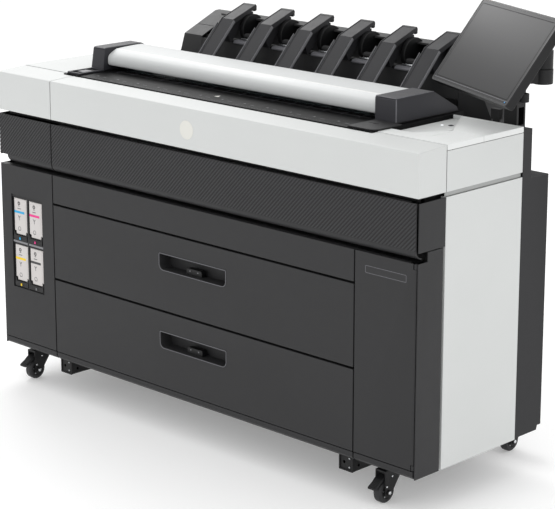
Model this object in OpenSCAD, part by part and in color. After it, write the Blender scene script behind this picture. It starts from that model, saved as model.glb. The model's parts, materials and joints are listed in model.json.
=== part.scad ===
// Large format plotter with a sheet scanner on top, two roll drawers, an ink bay,
// a rear stacker and a touch screen on a jointed arm.
// Working frame: X from the left side, Y from the front face, Z up from the floor.

/* [Body] */
// Width across the side panels
body_w = 1600; // [1560:10:1640]
// Height of the underside of the body
body_z = 112; // [108:1:118]
// Depth of the white side panels from the front face
side_end_y = 400; // [396:1:404]
// Seam between the ink module and the drawers
seam_left_x = 238; // [234:1:242]
// Seam between the drawers and the right module
seam_right_x = 1398; // [1390:1:1404]
// Thickness of a folded sheet or moulded wall
wall = 3; // [2.5:0.5:3]
// Thickness of the front panels
front_t = 4; // [3.5:0.5:4]
// Depth of the folded edges behind a front panel
fold_d = 20; // [16:1:20]

/* [Drawers] */
// Bottom edges of the lower and the upper drawer front
drawer_z = [135.5, 357]; // [130:0.5:360]
// Height of a drawer front
drawer_h = 215; // [212:1:216]
// Height of the handle opening above the bottom of its drawer front
handle_rise = 114.5; // [112:0.5:118]
// Width and height of the handle opening
handle_size = [256, 44]; // [40:1:260]
// Outer radius of a full paper roll
roll_r = 68; // [40:1:68]
// Width of the paper
paper_w = 914; // [610:1:914]

/* [Scanner] */
// Level of the white top
top_z = 937; // [935:0.5:938]
// Front edge of the scanner bed
bed_y = 86; // [84:1:92]
// Inner faces of the two end caps
cap_in = [250, 1285]; // [240:1:1300]
// Outer faces of the two end caps
cap_out = [198, 1357]; // [190:1:1360]

/* [Stacker] */
// Left side of the first arm
arm_x0 = 398; // [390:1:404]
// Distance from one arm to the next
arm_pitch = 154.8; // [150:0.1:156]
// Number of arms
arm_count = 6; // [2:1:6]
// Width of an arm
arm_w = 50; // [40:1:54]

/* [Screen] */
// Width, height and thickness of the touch screen
screen_size = [404, 248, 22]; // [20:1:410]
// Turn of the screen about the vertical
screen_turn = -24; // [-24:1:-10]
// Lean of the screen backwards from the vertical
screen_lean = 36; // [30:1:40]

/* [Casters] */
// Radius of a wheel
wheel_r = 29; // [27:0.5:29]
// Distance that the wheel trails in front of its swivel
trail = 25; // [20:1:28]

/* [Hidden] */
$fn = 48;
eps = 0.5;
seam = 0.4;
right_in = body_w - wall;
front_gap = 2;
drawer_x = [seam_left_x + front_gap, seam_right_x - front_gap];
tray_x = [256, 1380];
tray_y = [20, 378];
roll_y = 200;
roll_rise = 90;
mid_x = body_w / 2;
lip_z = [668, 690];
band_top = 808;
band_t = 3.5;
lower_top = 660;
cover_bottom = 820;
cover_front_top = 931;
corner_y = 95;
side_y = 103;
hinge_yz = [12, 800];
door_axis = [1592, 4];
lid_yz = [334, 968];
feed_yz = [218, 686];
rod_yz = [238, 752];
scan_yz = [215, 926.5];
belt_z = 757;
belt_r = 12;
belt_ends = [70, 1530];
stack_yz = [548, 1000];
stack_mid = 805;
// Left end housing of the stacker: its foot, its shoulder, its top and its inner edge
stack_foot = 198;
stack_shoulder = 228;
stack_top = 239;
stack_x = [314, 2 * stack_mid - 314];
leg_x = [223, 1327];
leg_w = 46;
leg_y = [30, 620];
leg_z = 64;
swivel_x = [64, 1453];
swivel_y = [82, 593];
button_xy = [1431, 321];
fan_xz = [1180, 640];
cart_x = [54, 123];
cart_z = [316, 456];
cart_size = [58, 144, 107];
cart_y = 6;
post_xy = [1541, 438];
knuckle_xy = [1580, 498];
face_dir = [sin(screen_turn), -cos(screen_turn)];
neck_l = 95;
tilt_pt = [knuckle_xy[0] + face_dir[0] * neck_l, knuckle_xy[1] + face_dir[1] * neck_l, 1095];
glass_front = 52.5;
screen_drop = 3;
corner_r = 8;
// Furthest reach of the turned and leaning screen along +X
along = [cos(screen_turn), -sin(screen_turn) * sin(screen_lean), -sin(screen_turn) * cos(screen_lean)];
reach_x = tilt_pt[0] + along[0] * (screen_size[0] / 2 - corner_r)
    + along[1] * (screen_size[1] / 2 - corner_r - screen_drop)
    + corner_r * sqrt(along[0] * along[0] + along[1] * along[1])
    - along[2] * (glass_front - 1.5 - screen_size[2]);
back_y = 690;
middle = [reach_x / 2, back_y / 2];

dark = "#424244";
black = "#151517";
white = "#dcdedf";
steel = "#9a9ca0";

// Moves a shape from the working frame to the row's frame
module in_frame() translate([-middle[0], -middle[1], 0]) children();

// Box between two corners
module box(a, b) translate(a) cube(b - a);

// Extrudes a YZ outline along X from x0 to x1, or an XZ outline along Y from y0 to y1
module along_x(x0, x1) translate([x0, 0, 0]) rotate([90, 0, 90]) linear_extrude(x1 - x0) children();
module along_y(y0, y1) translate([0, y1, 0]) rotate([90, 0, 0]) linear_extrude(y1 - y0) children();

// Cylinder along X, Y or Z through a point
module rod_x(x0, x1, yz, r) translate([x0, yz[0], yz[1]]) rotate([0, 90, 0]) cylinder(h = x1 - x0, r = r);
module rod_y(y0, y1, xz, r) translate([xz[0], y0, xz[1]]) rotate([-90, 0, 0]) cylinder(h = y1 - y0, r = r);
module rod_z(z0, z1, xy, r) translate([xy[0], xy[1], z0]) cylinder(h = z1 - z0, r = r);

// Shallow tray that faces forward: a front plate with folded edges behind it
module folded_panel(x0, x1, z0, z1, depth = fold_d) {
    difference() {
        box([x0, 0, z0], [x1, depth, z1]);
        box([x0 + wall, front_t, z0 + wall], [x1 - wall, depth + eps, z1 - wall]);
    }
}

// Mirrors a left-hand piece to the right of a plane at x, by default the middle of the body
module both_sides(x = mid_x) {
    children();
    translate([2 * x, 0, 0]) mirror([1, 0, 0]) children();
}

// ---- base and casters ----

module base_frame() in_frame() color(black) difference() {
    union() {
        for (x = leg_x) difference() {
            box([x, leg_y[0], leg_z], [x + leg_w, leg_y[1], body_z]);
            box([x + wall, leg_y[0] + wall, leg_z + wall], [x + leg_w - wall, leg_y[1] - wall, body_z - wall]);
        }
        for (y = [52, 560]) {
            box([34, y, 100], [leg_x[0], y + 60, body_z]);
            box([leg_x[1] + leg_w, y, 100], [1483, y + 60, body_z]);
        }
        for (y = [150, 480]) box([leg_x[0] + leg_w, y, 86], [leg_x[1], y + 40, body_z]);
    }
    for (x = leg_x) {
        rod_y(leg_y[0] - 1, leg_y[0] + wall + 1, [x + 15, 85], 4);
        rod_x(x + leg_w - wall - 1, x + leg_w + 1, [52, 78], 4);
    }
    for (x = swivel_x, y = swivel_y) rod_z(99, body_z + 1, [x, y], 8.3);
}

// Outline of one cheek of a caster fork, from its swivel axis
module cheek_outline() {
    polygon([[-38, 88], [20, 88], [22, 72], [-13, 24], [-38, wheel_r]]);
    translate([-trail, wheel_r]) circle(13);
}

module caster_fork(x, y) in_frame() color(black) translate([x, y, 0]) {
    difference() {
        union() {
            for (side = [-17, 14]) along_x(side, side + 3) cheek_outline();
            box([-17, -38, 84], [17, 20, 88]);
            rod_z(87, 99.4, [0, 0], 24);
            rod_z(99, 111, [0, 0], 8);
            rod_x(-20, 20, [-trail, wheel_r], 4);
            for (side = [-21, 17]) rod_x(side, side + 4, [-trail, wheel_r], 7);
        }
        rod_x(-18, -13, [-34, 68], 3.3);
        rod_x(13, 18, [-34, 68], 3.3);
    }
}

module caster_wheel(x, y) in_frame() color(dark) translate([x, y - trail, wheel_r]) rotate([0, 90, 0])
    rotate_extrude() polygon([
        [4.3, -12], [9, -12], [9, -9], [19, -9], [19, -12], [25, -12], [wheel_r, -8],
        [wheel_r, 8], [25, 12], [19, 12], [19, 9], [9, 9], [9, 12], [4.3, 12]
    ]);

module brake_pedal(x) in_frame() color(black) translate([x, swivel_y[0], 0]) {
    along_x(-12, 12) polygon([
        [-28, 76], [-46, 68], [-58, 58], [-72, 50], [-72, 45], [-56, 52], [-46, 60], [-28, 62]
    ]);
    rod_x(-17, 17, [-34, 68], 3);
}

// ---- chassis ----

module hinge_lug(x) {
    box([x, 8, 796], [x + 8, 32, 804]);
    box([x, 27, 803], [x + 8, 32, 812 - seam]);
}

module main_chassis() in_frame() color(black) {
    inner_x = [242, 1391];
    box([20, 16, body_z], [1580, 396, 115]);
    for (x = inner_x) box([x, 24, 115 + seam], [x + wall, 396 - seam, 640 - seam]);
    for (z = drawer_z) {
        box([inner_x[0] + wall + seam, 30, z + 30], [250, 390, z + 60]);
        box([1386, 30, z + 30], [inner_x[1] - seam, 390, z + 60]);
    }
    box([20, 49, 640], [1580, 396 - seam, 643]);
    box([20, 21, 655], [1580, 45, 658]);
    box([20, 45 + seam, 640], [1580, 48, lip_z[1]]);
    both_sides() box([24, 50, 643 + seam], [27, 396 - seam, 812 - seam]);
    box([20, 396, 115 + seam], [1580, 399, 815]);
    box([20, 29, 812], [1580, 396 - seam, 815]);
    box([20, 26, 806], [1580, 29 - seam, cover_bottom - seam]);
    hinge_lug(250);
    hinge_lug(1572);
    rod_x(258, 1572, hinge_yz, 1.7);
    // Stub that carries the fan
    rod_y(398.5, 477.5, fan_xz, 8);
}

// ---- drawers ----

// Outline of the handle opening of a drawer front, grown by t
module handle_outline(z, t) {
    hx = [mid_x + 15 - handle_size[0] / 2 - t, mid_x + 15 + handle_size[0] / 2 + t];
    hz = [z + handle_rise - t, z + handle_rise + handle_size[1] + t];
    r = 14 + t;
    translate([hx[0], hz[0] + r]) square([hx[1] - hx[0], hz[1] - hz[0] - r]);
    translate([hx[0] + r, hz[0]]) square([hx[1] - hx[0] - 2 * r, r + 1]);
    for (x = [hx[0] + r, hx[1] - r]) translate([x, hz[0] + r]) circle(r);
}

module drawer_front(z) in_frame() color(dark) {
    cup_end = front_t + 38;
    depth = tray_y[0] - 2;
    rib_x = [400, 1200];
    difference() {
        union() {
            folded_panel(drawer_x[0], drawer_x[1], z, z + drawer_h, depth);
            for (x = rib_x) box([x, front_t - eps, z + 1], [x + 10, depth, z + 100]);
        }
        along_y(-1, cup_end) handle_outline(z, wall + 0.3);
    }
    // Spacers between the ribs and the tray
    for (x = rib_x) box([x, depth + 0.2, z + 15], [x + 10, tray_y[0], z + 45]);
    // Moulded handle cup, a piece of its own in the panel's hole
    difference() {
        along_y(0, cup_end) handle_outline(z, wall);
        along_y(-1, cup_end - wall) handle_outline(z, 0);
    }
}

module drawer_tray(z) in_frame() color(steel) difference() {
    t = 2.5;
    wall_top = z + 104;
    union() {
        difference() {
            box([tray_x[0], tray_y[0], z + 10], [tray_x[1], tray_y[1], wall_top]);
            box([tray_x[0] + t, tray_y[0] + t, z + 10 + t], [tray_x[1] - t, tray_y[1] - t, wall_top + 1]);
        }
        box([251, 30, z + 30], [tray_x[0] + eps, tray_y[1], z + 60]);
        box([tray_x[1] - eps, 30, z + 30], [1385, tray_y[1], z + 60]);
    }
    box([tray_x[0] + 20, tray_y[0] - 1, z + 60], [tray_x[1] - 20, tray_y[0] + t + 1, wall_top + 1]);
    rod_x(tray_x[0] - 2, tray_x[0] + t + 2, [roll_y, z + roll_rise], 13.5);
    rod_x(tray_x[1] - t - 2, tray_x[1] + 2, [roll_y, z + roll_rise], 13.5);
    for (x = [tray_x[0] - 2, tray_x[1] - t - 2])
        box([x, roll_y - 13.5, z + roll_rise], [x + t + 4, roll_y + 13.5, wall_top + 1]);
}

module spindle(z) in_frame() color(black) {
    yz = [roll_y, z + roll_rise];
    rod_x(253, 1383, yz, 13);
    for (x = [mid_x - paper_w / 2 - 5, mid_x + paper_w / 2 + 0.4]) rod_x(x, x + 4.6, yz, 73);
    for (x = [mid_x - paper_w / 2 - 1, mid_x + paper_w / 2 - 60]) rod_x(x, x + 61, yz, 37.6);
    rod_x(264, 278, yz, 34);
}

module paper_roll(z) in_frame() color("#f4f4f1") difference() {
    rod_x(mid_x - paper_w / 2, mid_x + paper_w / 2, [roll_y, z + roll_rise], roll_r);
    rod_x(mid_x - paper_w / 2 - 1, mid_x + paper_w / 2 + 1, [roll_y, z + roll_rise], 38);
}

// ---- ink module ----

module left_front_panel() in_frame() color(dark) difference() {
    folded_panel(4, seam_left_x - front_gap, 135.5, lower_top);
    box([48, -1, 295], [188, front_t + 1, 574]);
}

module ink_bay() in_frame() color(black) difference() {
    box([44, front_t + seam, 290], [192, 176, 579]);
    for (x = cart_x, z = cart_z) box([x - 1, 0, z - 1], [x + cart_size[0] + 1, 160, z + cart_size[2] + 1]);
}

module ink_cartridge(x, z) in_frame() color("#d9d4cf") difference() {
    box([x, cart_y, z], [x + cart_size[0], cart_y + cart_size[1], z + cart_size[2]]);
    for (px = [x - 1, x + cart_size[0] - 7])
        box([px, cart_y - 1, z - 1], [px + 8, cart_y + 20, z + 9]);
    box([x + 12, cart_y + cart_size[1] - 14, z + 30], [x + cart_size[0] - 12, cart_y + cart_size[1] + 1, z + 76]);
}

// ---- right module ----

module right_front_door() in_frame() color(dark) {
    plate_end = 1587;
    hinge_z = [150, 646];
    difference() {
        union() {
            box([seam_right_x + front_gap, 0, 135.5], [plate_end, front_t, lower_top]);
            box([plate_end - 1, 0, hinge_z[0]], [door_axis[0], front_t, hinge_z[1]]);
            rod_z(hinge_z[0], hinge_z[1], door_axis, 4);
            box([seam_right_x + front_gap, front_t - eps, 135.5], [seam_right_x + front_gap + wall, 16, lower_top]);
            for (z = [135.5, lower_top - wall])
                box([seam_right_x + front_gap, front_t - eps, z], [1570, 16, z + wall]);
        }
        rod_z(hinge_z[0] - 1, hinge_z[1] + 1, door_axis, 2);
    }
}

module corner_panels() in_frame() color(dark) {
    both_sides() difference() {
        box([0, 3, body_z], [wall, corner_y, 684]);
        box([-1, 2, lower_top], [wall + 1, 38, 685]);
    }
    rod_z(137, 659, door_axis, 1.7);
    for (z = [136, 646.6]) {
        rod_z(z, z + 13, door_axis, 4);
        box([door_axis[0], 3.2, z], [right_in + eps, 7, z + 13]);
    }
}

module plinth_strip() in_frame() color(dark)
    for (span = [[4, seam_left_x - front_gap], drawer_x, [seam_right_x + front_gap, 1594]])
        along_x(span[0], span[1]) polygon([[1, 133], [1, 120], [9, body_z], [15, body_z], [15, 133]]);

module upper_front_panel() in_frame() color(dark)
    folded_panel(drawer_x[0], drawer_x[1], 578, lower_top);

// ---- sides and back ----

module side_panels() in_frame() color(white) both_sides() {
    flange = 18;
    recess = 6;
    box([0, side_y, body_z], [wall, side_end_y, band_top]);
    box([wall - eps, side_y, body_z], [flange, side_y + wall, band_top]);
    box([wall - eps, side_end_y - wall, body_z], [flange, side_end_y, band_top]);
    // Recessed strip that closes the gap under the upper housing
    box([wall - eps, side_y + 1, band_top - 10], [recess + wall, side_end_y - 1, band_top - 6]);
    box([recess, side_y + 1, band_top - 10], [recess + wall, side_end_y - 1, cover_bottom - seam]);
}

module back_cover() in_frame() color(dark) {
    y0 = side_end_y + 1;
    y1 = 508;
    difference() {
        along_x(0, body_w) polygon([[y0, 116], [490, 116], [494, 128], [y1, 128], [y1, 800], [y0, 800]]);
        box([wall, y0 - 1, 132], [right_in, y1 - wall, 797]);
        for (i = [0:13]) box([200, y1 - 10, 240 + 14 * i], [620, y1 + 1, 246 + 14 * i]);
        for (i = [-5:5]) {
            h = sqrt(38 * 38 - 49 * i * i);
            box([fan_xz[0] + 7 * i - 2, y1 - 10, fan_xz[1] - h], [fan_xz[0] + 7 * i + 2, y1 + 1, fan_xz[1] + h]);
        }
        box([1420, y1 - 10, 250], [1448, y1 + 1, 270]);
    }
    // Raised pillars beside the rear corners
    both_sides() difference() {
        box([0, y0, 799.5], [34, 435, 928]);
        box([wall, y0 - 1, 803], [34 - wall, 435 - wall, 925]);
    }
    // Socket of the power inlet
    difference() {
        box([1416, y1 - wall - 24, 246], [1452, y1 - wall + eps, 274]);
        box([1420, y1 - wall - 20, 250], [1448, y1 + 1, 270]);
    }
}

// ---- band and white covers ----

// Outlines of the ribbed band's flat skin and of the curved lip below it
module band_skin() translate([0, lip_z[1]]) square([band_t, band_top - lip_z[1]]);
module band_lip() {
    lip_r = lip_z[1] - lip_z[0];
    intersection() {
        translate([lip_r, lip_z[1]]) difference() {
            circle(lip_r);
            circle(lip_r - band_t);
        }
        translate([0, lip_z[0] - 1]) square([lip_r, lip_r + 1 + eps]);
    }
}

module print_zone_cover() in_frame() color(dark) {
    barrel = [262, 1568];
    along_x(drawer_x[0], 1594) {
        band_skin();
        band_lip();
    }
    difference() {
        union() {
            box([barrel[0], 3, 804.5], [barrel[1], 15, band_top]);
            rod_x(barrel[0], barrel[1], hinge_yz, 5);
        }
        rod_x(barrel[0] - 1, barrel[1] + 1, hinge_yz, 2);
    }
}

module band_end_panels() in_frame() color(dark) {
    along_x(4, seam_left_x - front_gap) band_skin();
    along_x(37, seam_left_x - front_gap) band_lip();
    both_sides() box([0, 4, 686], [wall, side_y - 1, band_top]);
}

// White cover along the front edge, from x0 to x1
module front_cover_run(x0, x1, end_x) {
    rear = side_y - 1;
    difference() {
        along_x(x0, x1) polygon([
            [0, cover_bottom], [0, cover_front_top - 3], [3, cover_front_top], [rear, top_z - 1], [rear, cover_bottom]
        ]);
        along_x(x0 - (end_x == x0 ? -wall : 1), x1 + (end_x == x1 ? -wall : 1)) polygon([
            [wall, cover_bottom - 1], [wall, cover_front_top - 4], [rear + 1, top_z - 4], [rear + 1, cover_bottom - 1]
        ]);
        box([cap_out[0] - 2, bed_y - 1, 900], [1376, rear + 1, top_z + 5]);
    }
    box([x0, wall - eps, cover_bottom], [x1, 16, cover_bottom + wall]);
}

module front_cover() in_frame() color(white) {
    front_cover_run(0, seam_left_x - front_gap / 2, 0);
    front_cover_run(seam_left_x + front_gap / 2, body_w, body_w);
}

module upper_side_housings() in_frame() color(white) {
    box([0, side_y + 1, cover_bottom], [wall, side_end_y, top_z]);
    box([wall - eps, side_y + 1, top_z - wall], [cap_out[0] - 2, side_end_y, top_z]);
    box([wall - eps, side_end_y - wall, cover_bottom], [cap_out[0] - 2, side_end_y, top_z - wall + eps]);
    box([right_in, side_y + 1, cover_bottom], [body_w, side_end_y, 921]);
    box([1376, side_end_y - wall, cover_bottom], [right_in + eps, side_end_y, 921]);
}

// Two lids with a stepped seam between them
module top_right_lids() in_frame() color(white) {
    x = [1376, 1510, body_w];
    y = [side_y + 1, 150, 242, side_end_y];
    half = 0.5;
    floor_z = 927;
    difference() {
        translate([0, 0, 922]) linear_extrude(top_z - 922) {
            translate([x[0], y[0]]) square([x[2] - x[0], y[1] - half - y[0]]);
            translate([x[1], y[0]]) square([x[2] - x[1], y[2] - half - y[0]]);
            translate([x[0], y[1] + half]) square([x[1] - 2 * half - x[0], y[3] - y[1] - half]);
            translate([x[0], y[2] + half]) square([x[2] - x[0], y[3] - y[2] - half]);
        }
        // Shallow dish beside the scanner, with a sloping right side
        intersection() {
            along_y(y[1] + 1, y[3])
                polygon([[1375, floor_z], [1445, floor_z], [1505, top_z + 0.1], [1375, top_z + 0.1]]);
            translate([0, 0, floor_z - 1]) linear_extrude(20)
                polygon([[1370, 154], [1446, 154], [1502, 240], [1403, 396], [1370, 396]]);
        }
        rod_z(921, 930, button_xy, 5.4);
    }
}

module power_button() in_frame() color(black) {
    rod_z(919, 928.5, button_xy, 5);
    rod_z(917, 919.5, button_xy, 8);
}

// ---- scanner ----

module scanner_bed() in_frame() color(black) difference() {
    bed_top = top_z + 1;
    union() {
        box([cap_out[0], bed_y, 925], [1374, 441, bed_top]);
        difference() {
            box([230, 112, 816], [1340, 390, 926]);
            box([230 + wall, 112 + wall, 815], [1340 - wall, 390 - wall, 924]);
        }
        box([206, bed_y + 4, bed_top - eps], [cap_in[0] + 12, 190, bed_top + 2]);
        box([cap_in[1] + 4, bed_y + 4, bed_top - eps], [cap_out[1] + 10, 190, bed_top + 2]);
    }
    box([290, 203, 900], [1260, 227, bed_top + 5]);
    box([266, 209, 900], [1284, 221, 934]);
    box([294, 240, 900], [1256, 306, bed_top + 5]);
    box([290, 236, 934.5], [1260, 310, bed_top + 5]);
}

module scanner_glass() in_frame() color("#b8c4c8", 0.5) box([290.3, 236.3, 934.5], [1259.7, 309.7, 937.5]);

module scanner_end_caps() in_frame() color(dark) {
    base = top_z + 1.2;
    difference() {
        along_x(cap_out[0], cap_in[0])
            polygon([[188, base], [198, 998], [203, 1002], [340, 1002], [350, 997], [380, 962], [384, base]]);
        rod_x(cap_in[0] - 7, cap_in[0] + 1, lid_yz, 4.3);
        box([203, 186, base - 1], [cap_in[0] + 1, 191, base + 2]);
    }
    difference() {
        along_x(cap_in[1], cap_out[1])
            polygon([[196, base], [196, 998], [200, 1002], [340, 1002], [347, 999], [436, 950], [441, base]]);
        rod_x(cap_in[1] - 1, cap_in[1] + 7, lid_yz, 4.3);
    }
}

module scanner_lid() in_frame() color(white) {
    x = [cap_in[0] + 2, cap_in[1] - 2];
    difference() {
        along_x(x[0], x[1]) polygon([
            [206, 956], [208, 978], [236, 997], [250, 1000], [336, 1000], [342, 994], [342, 951], [211, 951]
        ]);
        along_x(x[0] + wall, x[1] - wall) {
            polygon([[210, 956], [212, 976], [237, 993], [250, 996], [334, 996], [338, 992], [338, 955]]);
            translate([228, 940]) square([90, 20]);
        }
    }
    for (end = [[x[0] - 6, x[0] + 1], [x[1] - 1, x[1] + 6]]) rod_x(end[0], end[1], lid_yz, 4);
}

module scanner_roller() in_frame() color(black) {
    rod_x(292, 1258, scan_yz, 11);
    rod_x(268, 1282, scan_yz, 5);
}

// ---- print engine ----

module platen() in_frame() color(steel) {
    difference() {
        box([196, 62, 690], [1410, 198, 700]);
        for (i = [0:17]) box([230 + 64 * i, 90, 689], [270 + 64 * i, 170, 697]);
    }
    for (x = [196, 1404]) difference() {
        box([x, 190, 643.2], [x + 6, 240, 690.5]);
        box([x - 1, 189, 689], [x + 7, 198.5, 691]);
        rod_x(x - 1, x + 7, feed_yz, 6.3);
        box([x - 1, feed_yz[0] - 6.3, feed_yz[1]], [x + 7, feed_yz[0] + 6.3, 692]);
    }
    for (x = [300, 1290]) box([x, 100, 643.2], [x + 6, 160, 690.5]);
}

module feed_roller() in_frame() color(black) {
    rod_x(212, 1394, feed_yz, 15);
    rod_x(190, 1424, feed_yz, 6);
    rod_x(1412, 1420, feed_yz, 22);
}

module carriage_rail() in_frame() color(steel) {
    rod_x(27.5, 1572.5, rod_yz, 8);
    difference() {
        box([28, 270, 725], [1572, 290, 785]);
        box([27, 273, 728], [1573, 291, 782]);
    }
    // Drive motor and idler of the belt
    rod_y(309, 350, [belt_ends[1], belt_z], 20);
    rod_y(272.5, 303, [belt_ends[0], belt_z], belt_r - 1);
}

module print_carriage() in_frame() color(black) {
    difference() {
        union() {
            box([1418, 90, 712], [1538, 262, 800]);
            for (x = [1432, 1484]) box([x, 100, 703], [x + 40, 190, 713]);
            box([1462, 261, 788], [1492, 309, 791]);
            box([1462, 305, 764], [1492, 308, 789]);
        }
        rod_x(1417, 1539, rod_yz, 8.3);
    }
}

module drive_belt() in_frame() color(black) along_y(296, 304) {
    for (z = [belt_z - belt_r - 1.5, belt_z + belt_r])
        translate([belt_ends[0], z]) square([belt_ends[1] - belt_ends[0], 1.5]);
    for (end = [0, 1]) intersection() {
        translate([belt_ends[end], belt_z]) difference() {
            circle(belt_r + 1.5);
            circle(belt_r);
        }
        translate([end == 0 ? belt_ends[0] - 20 : belt_ends[1], belt_z - 20]) square([20, 40]);
    }
}

module belt_pulley() in_frame() color(steel) {
    rod_y(295, 305, [belt_ends[1], belt_z], belt_r - 0.6);
    rod_y(291, 308.5, [belt_ends[1], belt_z], 4);
}

module service_station() in_frame() color(black) {
    difference() {
        box([1418, 72, 643.2], [1540, 186, 698]);
        for (x = [1430, 1484]) box([x, 84, 690], [x + 44, 174, 699]);
    }
    box([1430, 24, 430], [1560, 180, 600]);
}

module electronics_box() in_frame() color(steel) difference() {
    box([1410, 200, 150], [1570, 388, 600]);
    box([1412, 202, 152], [1568, 389, 598]);
    for (i = [0:9]) box([1430, 199, 470 + 12 * i], [1550, 203, 475 + 12 * i]);
}

module cooling_fan() in_frame() color(black) {
    rod_y(478, 496, fan_xz, 13);
    for (a = [0:72:288]) translate([fan_xz[0], 487, fan_xz[1]]) rotate([0, a, 0])
        translate([0, 0, 24]) rotate([0, 0, 35]) cube([20, 2, 26], center = true);
}

// ---- stacker ----

// Front view of the left end housing, with its sloping side moved in by t
module housing_side(t) polygon([
    [stack_foot + t, 800], [stack_foot + t, 912], [stack_shoulder + t, 960], [stack_top + t, 1010],
    [stack_top + t, 1070], [stack_x[0] + wall, 1070], [stack_x[0] + wall, 800]
]);

// A hopper that leans back, with a ledge along the top of its rear wall
module stacker_trough() in_frame() color(dark) {
    front_foot = [497, 803];
    rear_foot = [550, 803];
    rear_bend = [589, 935];
    rear_top = [[back_y, 1044], [664, 1066]];
    inside = [[684, 1043.5], [585.4, 937], [547, 807], [501.5, 807]];
    along_x(stack_x[0], stack_x[1]) polygon(concat(
        [front_foot, rear_foot, rear_bend], rear_top,
        [[648, 1068], [600, 1068], [600, 1062], [648, 1062], [661, 1060.5]], inside,
        [[524, 1004], [520, 1004]]
    ));
    both_sides(stack_mid) difference() {
        intersection() {
            along_x(stack_foot, stack_x[0] + eps)
                polygon(concat([front_foot, rear_foot, rear_bend], rear_top, [[647, 1065], [520, 1010]]));
            along_y(front_foot[0] - 1, back_y + 1) housing_side(0);
        }
        intersection() {
            along_x(stack_foot, stack_x[0] + 1)
                polygon(concat(inside, [[524, 1007], [647.5, 1060.8], [662.5, 1061.8]]));
            along_y(front_foot[0], back_y) housing_side(wall);
        }
        // Seam across the roof, between its front strip and its rear part
        along_x(stack_foot, stack_x[0] + 1)
            translate([572, 1032.5]) rotate(23.4) translate([-0.7, -1.2]) square([1.4, 4]);
    }
    box([260, 420, 801], [1350, 499, 806]);
    for (x = [262, 1300]) difference() {
        box([x, 540, 990], [x + 38, 556, 1016.5]);
        rod_x(x - 1, x + 39, stack_yz, 5.3);
    }
}

module arm_outline() {
    polygon([[399, 939], [413, 939], [527, 1061], [608, 1093], [608, 1103], [520, 1070]]);
}

module stacker_arms() in_frame() color(dark) for (i = [0:arm_count - 1]) {
    x = arm_x0 + arm_pitch * i;
    along_x(x, x + arm_w) arm_outline();
    along_x(x + 12, x + arm_w - 12)
        polygon([[505, 1037], [527, 1060], [600, 1089], [600, 1076], [566, 1052], [524, 1004.4], [519, 1004.4]]);
    // Guide disc cut away around the ledge, with a web to the arm and a bracket to the rear wall
    box([x + arm_w - 14, 575, 1060], [x + arm_w + 1, 600, 1087]);
    difference() {
        rod_x(x + arm_w - 1, x + arm_w + 11, [590, 1036], 44);
        box([x + arm_w - 2, 599.6, 1061.6], [x + arm_w + 12, 640, 1068.4]);
    }
    along_x(x + arm_w - 1, x + arm_w + 11) polygon([[620, 1010], [652.8, 1010], [666.6, 1025], [620, 1025]]);
}

module stacker_roller() in_frame() color(black) {
    rod_x(304, 1296, stack_yz, 11);
    rod_x(264, 1336, stack_yz, 5);
}

// ---- touch screen ----

module screen_post() in_frame() color(black) {
    px = [post_xy[0] - 20, post_xy[0] + 20];
    py = [post_xy[1] - 18, post_xy[1] + 18];
    difference() {
        union() {
            box([px[0], py[0], 801], [px[1], py[1], 1030]);
            box([px[0] - 16, py[0] - 8, 801], [px[1] + 2, py[1] + 12, 807]);
        }
        box([px[0] + wall, py[0] + wall, 808], [px[1] - wall, py[1] - wall, 1026]);
        box([px[1] - wall - 1, py[0] + 8, 930], [px[1] + 1, py[1] - 6, 975]);
    }
    rod_z(1029, 1065, post_xy, 10);
    difference() {
        rod_z(990, 1012, [px[1] + 9, post_xy[1]], 12);
        rod_z(989, 1013, [px[1] + 9, post_xy[1]], 8.5);
        box([px[0] - 1, py[0], 989], [px[1] - eps, py[1], 1013]);
    }
}

module screen_arm() in_frame() color(black) {
    link = knuckle_xy - post_xy;
    difference() {
        union() {
            rod_z(1031, 1069, post_xy, 24);
            rod_z(1031, 1069, knuckle_xy, 26);
            translate([post_xy[0], post_xy[1], 1034]) rotate([0, 0, atan2(link[1], link[0])])
                translate([0, -18, 0]) cube([norm(link), 36, 32]);
        }
        rod_z(1030, 1066, post_xy, 10.3);
    }
    rod_z(1068, 1105, knuckle_xy, 10);
}

module screen_yoke() in_frame() color(black) difference() {
    union() {
        rod_z(1070, 1116, knuckle_xy, 25);
        translate([knuckle_xy[0], knuckle_xy[1], 0]) rotate([0, 0, screen_turn])
            box([-14, -neck_l, 1085], [14, 0, 1105]);
        translate(tilt_pt) rotate([0, 0, screen_turn]) rod_x(-25, 25, [0, 0], 13);
    }
    rod_z(1069, 1106, knuckle_xy, 10.3);
    translate(tilt_pt) rotate([0, 0, screen_turn]) rod_x(-26, 26, [0, 0], 5.3);
}

// Places a piece in the screen's own frame: X along its top, Y to its back, Z up its face
module on_screen() in_frame() translate(tilt_pt) rotate([-screen_lean, 0, screen_turn]) children();

// Rounded plate with its front at y0, in the screen's frame
module screen_plate(size, y0, y1, r) translate([0, y1, -screen_drop]) rotate([90, 0, 0]) linear_extrude(y1 - y0) {
    square([size[0] - 2 * r, size[1]], center = true);
    square([size[0], size[1] - 2 * r], center = true);
    for (x = [-1, 1], z = [-1, 1]) translate([x * (size[0] / 2 - r), z * (size[1] / 2 - r)]) circle(r);
}

module screen_shell() on_screen() color(black) {
    shell_y = [1.5 - glass_front, 1.5 - glass_front + screen_size[2]];
    screen_plate(screen_size, shell_y[0], shell_y[1], corner_r);
    for (x = [-36, 27]) {
        box([x, shell_y[1] - eps, -13], [x + 9, 0, 13]);
        rod_x(x, x + 9, [0, 0], 13);
    }
    rod_x(-37, 37, [0, 0], 5);
}

module screen_glass() on_screen() color("#55565a")
    screen_plate([screen_size[0] - 4, screen_size[1] - 4], -glass_front, 1.5 - glass_front, corner_r - 2);

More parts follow.
